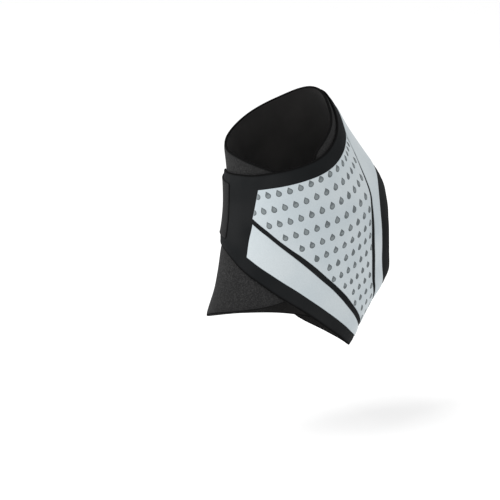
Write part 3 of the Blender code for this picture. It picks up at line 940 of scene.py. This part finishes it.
def newFinish(name, look, surface):
    # surface gives the tone and the relief of a finish
    material = bpy.data.materials.new(name)
    material.use_nodes = True
    tree = material.node_tree
    shader = tree.nodes["Principled BSDF"]
    shader.inputs["Roughness"].default_value = look["roughness"]
    shader.inputs["Metallic"].default_value = look.get("metallic", 0.0)
    shader.inputs["Specular IOR Level"].default_value = look["specular"]
    shader.inputs["Sheen Weight"].default_value = look.get("sheen", 0.0)
    tone, relief = surface(tree, look)
    bump = addNode(tree, "ShaderNodeBump", {
        "Height": relief, "Strength": look["bump"], "Distance": look["bumpDepth"],
    })
    tree.links.new(tone, shader.inputs["Base Color"])
    tree.links.new(bump.outputs["Normal"], shader.inputs["Normal"])
    return material


def darkened(colour, share):
    return tuple(part * share for part in colour)


def driftOver(tree, where, look):
    return place(tree, "mottle", {"Place": where, "Size": look["mottle"]})["Value"]


def shadedTowardsEdge(tree, look, tone, colour):
    # painted shade: a tone that darkens towards the piece's edge
    edge = edgeMask(tree, look["edgeWidth"])
    return tinted(tree, edge, look["edgeShadeShare"], tone, darkened(colour, look["edgeShadeDark"]))


# Charcoal loop cloth of the inner wrap
loopLook = {
    "colour": (0.0365, 0.0365, 0.0365), "low": (0.0135, 0.0135, 0.0138), "pile": 0.0008, "roughness": 0.95,
    "specular": 0.06, "sheen": 0.03, "bump": 0.9, "bumpDepth": 0.0004, "mottle": 0.02, "mottleShare": 0.25,
    "shadeBandWidth": 0.0090, "shadeBandShare": 0.4,        # painted shade in a wide band beside the edges
    # painted shade towards the edges
    "edgeWidth": 0.0019, "edgeShadeShare": 0.9, "edgeShadeDark": 0.2,
}


def loopSurface(tree, look):
    where, low = objectPlace(tree), look["low"]
    pile = place(tree, "pile", {"Place": where, "Size": look["pile"]})
    tone = mixed(tree, pile["Fleck"], low, look["colour"])
    tone = tinted(tree, driftOver(tree, where, look), look["mottleShare"], tone, low)
    # painted shade: a wide darker band beside the edges
    tone = tinted(tree, edgeMask(tree, look["shadeBandWidth"]), look["shadeBandShare"], tone, low)
    # painted shade darkens the tone towards the edge
    return shadedTowardsEdge(tree, look, tone, low), pile["Height"]


# Smooth black stretch cloth of the wing, and the lining of both wraps
knitLook = {
    "roughness": 0.88, "mottle": 0.03, "gapShare": 0.35, "gapDark": 0.5, "edgeShadeShare": 0.9,
    "fuzzScale": 2600.0, "fuzzShare": 0.5,
}
stretchLook = {
    **knitLook, "colour": (0.0081, 0.0090, 0.0097), "light": (0.0136, 0.0142, 0.0148),
    "wale": 0.0008, "course": 0.0006, "specular": 0.05, "sheen": 0.01, "bump": 0.35, "bumpDepth": 0.00012,
    "edgeWidth": 0.0019, "edgeShadeDark": 0.15,
}
liningLook = {
    **knitLook, "colour": (0.0135, 0.0130, 0.0130), "light": (0.0230, 0.0220, 0.0215),
    "wale": 0.0011, "course": 0.0008, "specular": 0.10, "sheen": 0.03, "bump": 0.6, "bumpDepth": 0.0002,
    "edgeWidth": 0.0012, "edgeShadeDark": 0.5,
}


def knitSurface(tree, look):
    where = objectPlace(tree)
    knit = place(tree, "jersey", {"Map": clothPlace(tree), "Wale": look["wale"], "Course": look["course"]})
    tone = mixed(tree, driftOver(tree, where, look), look["colour"], look["light"])
    tone = tinted(tree, knit["Gap"], look["gapShare"], tone, darkened(look["colour"], look["gapDark"]))
    fuzz = noise(tree, where, look["fuzzScale"], {"Detail": 2.0})
    relief = sums(tree, "MULTIPLY_ADD", fuzz, look["fuzzShare"], knit["Height"])
    # painted shade darkens the tone towards the edge
    return shadedTowardsEdge(tree, look, tone, look["colour"]), relief


# Cut edge of the cloths: fine dark foam between the two faces
foamLook = {
    "colour": (0.0020, 0.0020, 0.0021), "light": (0.0060, 0.0060, 0.0060), "roughness": 0.95,
    "specular": 0.03, "bump": 0.5, "bumpDepth": 0.00015, "cell": 0.0004,
}


def foamSurface(tree, look):
    cells = addNode(tree, "ShaderNodeTexVoronoi", {
        "Vector": objectPlace(tree), "Scale": 1 / look["cell"],
    }).outputs["Distance"]
    return mixed(tree, cells, look["colour"], look["light"]), cells


# Silver film and the drops printed on it
grainLook = {
    "grain": 0.0007, "grainNoise": {"Detail": 3.0, "Roughness": 0.7}, "fleck": (0.35, 0.65),
    "bump": 0.18, "bumpDepth": 0.00008,
}
filmLook = {
    **grainLook, "colour": (0.462, 0.504, 0.522), "cool": (0.402, 0.452, 0.478), "roughness": 0.46,
    "roughSpread": 0.2, "metallic": 0.12, "specular": 0.45, "mottle": 0.035, "fleckShare": 0.22,
    "fleckDark": 0.72, "edgeWidth": 0.0005, "edgeShadeShare": 0.6, "edgeShadeDark": 0.75,
}
dropLook = {
    **grainLook, "colour": (0.165, 0.190, 0.198), "rim": (0.034, 0.043, 0.047), "rimWidth": 0.00080,
    "roughness": 0.50, "metallic": 0.10, "specular": 0.4, "fleckShare": 0.25, "fleckDark": 0.75,
}


def filmGrain(tree, where, look):
    # fine grain of the film, and the flecks where it is high
    grain = noise(tree, where, 1 / look["grain"], look["grainNoise"])
    return grain, ranged(tree, grain, *look["fleck"])


def filmSurface(tree, look):
    where, cool = objectPlace(tree), look["cool"]
    grain, fleck = filmGrain(tree, where, look)
    tone = mixed(tree, driftOver(tree, where, look), look["colour"], cool)
    tone = tinted(tree, fleck, look["fleckShare"], tone, darkened(cool, look["fleckDark"]))
    spread = look["roughSpread"]
    rough = sums(tree, "MULTIPLY_ADD", grain, spread, look["roughness"] - spread / 2)
    tree.links.new(rough, tree.nodes["Principled BSDF"].inputs["Roughness"])
    # painted shade darkens the tone towards the edge
    return shadedTowardsEdge(tree, look, tone, cool), grain


def dropSurface(tree, look):
    colour = look["colour"]
    grain, fleck = filmGrain(tree, objectPlace(tree), look)
    tone = tinted(tree, fleck, look["fleckShare"], colour, darkened(colour, look["fleckDark"]))
    return mixed(tree, edgeMask(tree, look["rimWidth"], "dropDepth"), tone, look["rim"]), grain


# Hook tape and the thread of the seams
hookLook = {
    "colour": (0.0215, 0.0215, 0.0220), "low": (0.0110, 0.0110, 0.0115), "pitch": 0.0010,
    "roughness": 0.80, "specular": 0.12, "bump": 0.5, "bumpDepth": 0.0003, "edgeWidth": 0.0009,
}
threadLook = {
    "colour": (0.006, 0.006, 0.0065), "light": (0.014, 0.014, 0.015), "roughness": 0.6, "specular": 0.25,
    "bump": 0.5, "bumpDepth": 0.00005, "twist": 0.0005, "twistWave": 0.3, "twistDistortion": 1.5,
}


def hookSurface(tree, look):
    hooks = place(tree, "hooks", {"Map": clothPlace(tree), "Pitch": look["pitch"]})["Height"]
    inside = sums(tree, "SUBTRACT", 1.0, edgeMask(tree, look["edgeWidth"]))
    hooks = sums(tree, "MULTIPLY", hooks, inside)
    return mixed(tree, hooks, look["low"], look["colour"]), hooks


def threadSurface(tree, look):
    twist = addNode(tree, "ShaderNodeTexWave", {
        "Vector": objectPlace(tree), "Scale": look["twistWave"] / look["twist"],
        "Distortion": look["twistDistortion"],
    }, bands_direction="DIAGONAL").outputs["Fac"]
    return mixed(tree, twist, look["colour"], look["light"]), twist


finishes = {
    "loop": newFinish("loop_cloth", loopLook, loopSurface),
    "stretch": newFinish("stretch_cloth", stretchLook, knitSurface),
    "lining": newFinish("lining_knit", liningLook, knitSurface),
    "edge": newFinish("cut_edge", foamLook, foamSurface),
    "film": newFinish("silver_film", filmLook, filmSurface),
    "drop": newFinish("printed_drop", dropLook, dropSurface),
    "hook": newFinish("hook_tape", hookLook, hookSurface),
    "thread": newFinish("sewing_thread", threadLook, threadSurface),
}
print("finishes mixed:", len(finishes))


def dress(piece, names, replaced=None):
    for name in names:
        piece.data.materials.append(finishes[name])
    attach(piece, "root")
    if replaced:
        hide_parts(replaced)


dress(baseCloth, ["loop", "lining", "edge"], "base_wrap")
dress(wingCloth, ["stretch", "lining", "edge"], "outer_wing")
dress(films["main_film"], ["film", "film", "film", "drop"], "main_panel")
dress(films["lower_film"], ["film", "film", "film"], "lower_panel")
dress(films["rear_film"], ["film", "film", "film"], "rear_panel")
dress(hookTab, ["hook", "stretch", "edge"], "hook_tab")
dress(tabStitches, ["thread"])
dress(wingStitches, ["thread"])


# Camera at the angle of the worn brace, plain floor, soft light
view = {
    "azimuth": 58.0, "elevation": 15.0, "distance": 1.150,
    "focal": 1782.5, "imageSide": 500.0, "sensor": 36.0,    # focal and side in pixels, sensor in mm
    "aimRight": -0.0374, "aimUp": -0.0206,
}
azimuth, elevation = math.radians(view["azimuth"]), math.radians(view["elevation"])
back = Vector((
    math.sin(azimuth) * math.cos(elevation), -math.cos(azimuth) * math.cos(elevation), math.sin(elevation),
))
right = Vector((math.cos(azimuth), math.sin(azimuth), 0))
up = back.cross(right)
aim = right * view["aimRight"] + up * view["aimUp"]
bpy.ops.object.camera_add(location=back * view["distance"])
camera = bpy.context.object
camera.name = "camera"
camera.data.sensor_width = view["sensor"]
camera.data.lens = view["sensor"] * view["focal"] / view["imageSide"]
camera.rotation_euler = (camera.location - aim).to_track_quat("Z", "Y").to_euler()
bpy.context.scene.camera = camera

studio = {
    "floorDepth": 0.150, "floorSide": 10.0, "floorTone": 0.93, "floorRoughness": 0.9, "floorSpecular": 0.1,
    "sky": 1.02,
    # soft lights: side in metres, power in watts, place round the camera's aim as right, up, back
    "lights": [("key", 0.9, 15.0, (-0.85, 0.95, 0.85)), ("side", 0.7, 0.3, (1.1, 0.4, -0.3))],
}
bpy.ops.object.select_all(action="DESELECT")
bpy.ops.mesh.primitive_plane_add(size=studio["floorSide"], location=(0, 0, -studio["floorDepth"]))
floor = bpy.context.object
floor.name = "floor"
floorFinish = bpy.data.materials.new("pale_floor")
floorFinish.use_nodes = True
floorShader = floorFinish.node_tree.nodes["Principled BSDF"]
floorShader.inputs["Base Color"].default_value = (*[studio["floorTone"]] * 3, 1)
floorShader.inputs["Roughness"].default_value = studio["floorRoughness"]
floorShader.inputs["Specular IOR Level"].default_value = studio["floorSpecular"]
floor.data.materials.append(floorFinish)

bpy.context.scene.view_settings.view_transform = "Standard"
world = bpy.data.worlds.new("studio")
world.use_nodes = True
world.node_tree.nodes["Background"].inputs["Color"].default_value = (1, 1, 1, 1)
world.node_tree.nodes["Background"].inputs["Strength"].default_value = studio["sky"]
bpy.context.scene.world = world
for name, side, power, spot in studio["lights"]:
    bpy.ops.object.light_add(type="AREA", location=right * spot[0] + up * spot[1] + back * spot[2])
    lamp = bpy.context.object
    lamp.name = name
    lamp.data.size = side
    lamp.data.energy = power
    lamp.rotation_euler = lamp.location.to_track_quat("Z", "Y").to_euler()
print("camera, floor and light set")
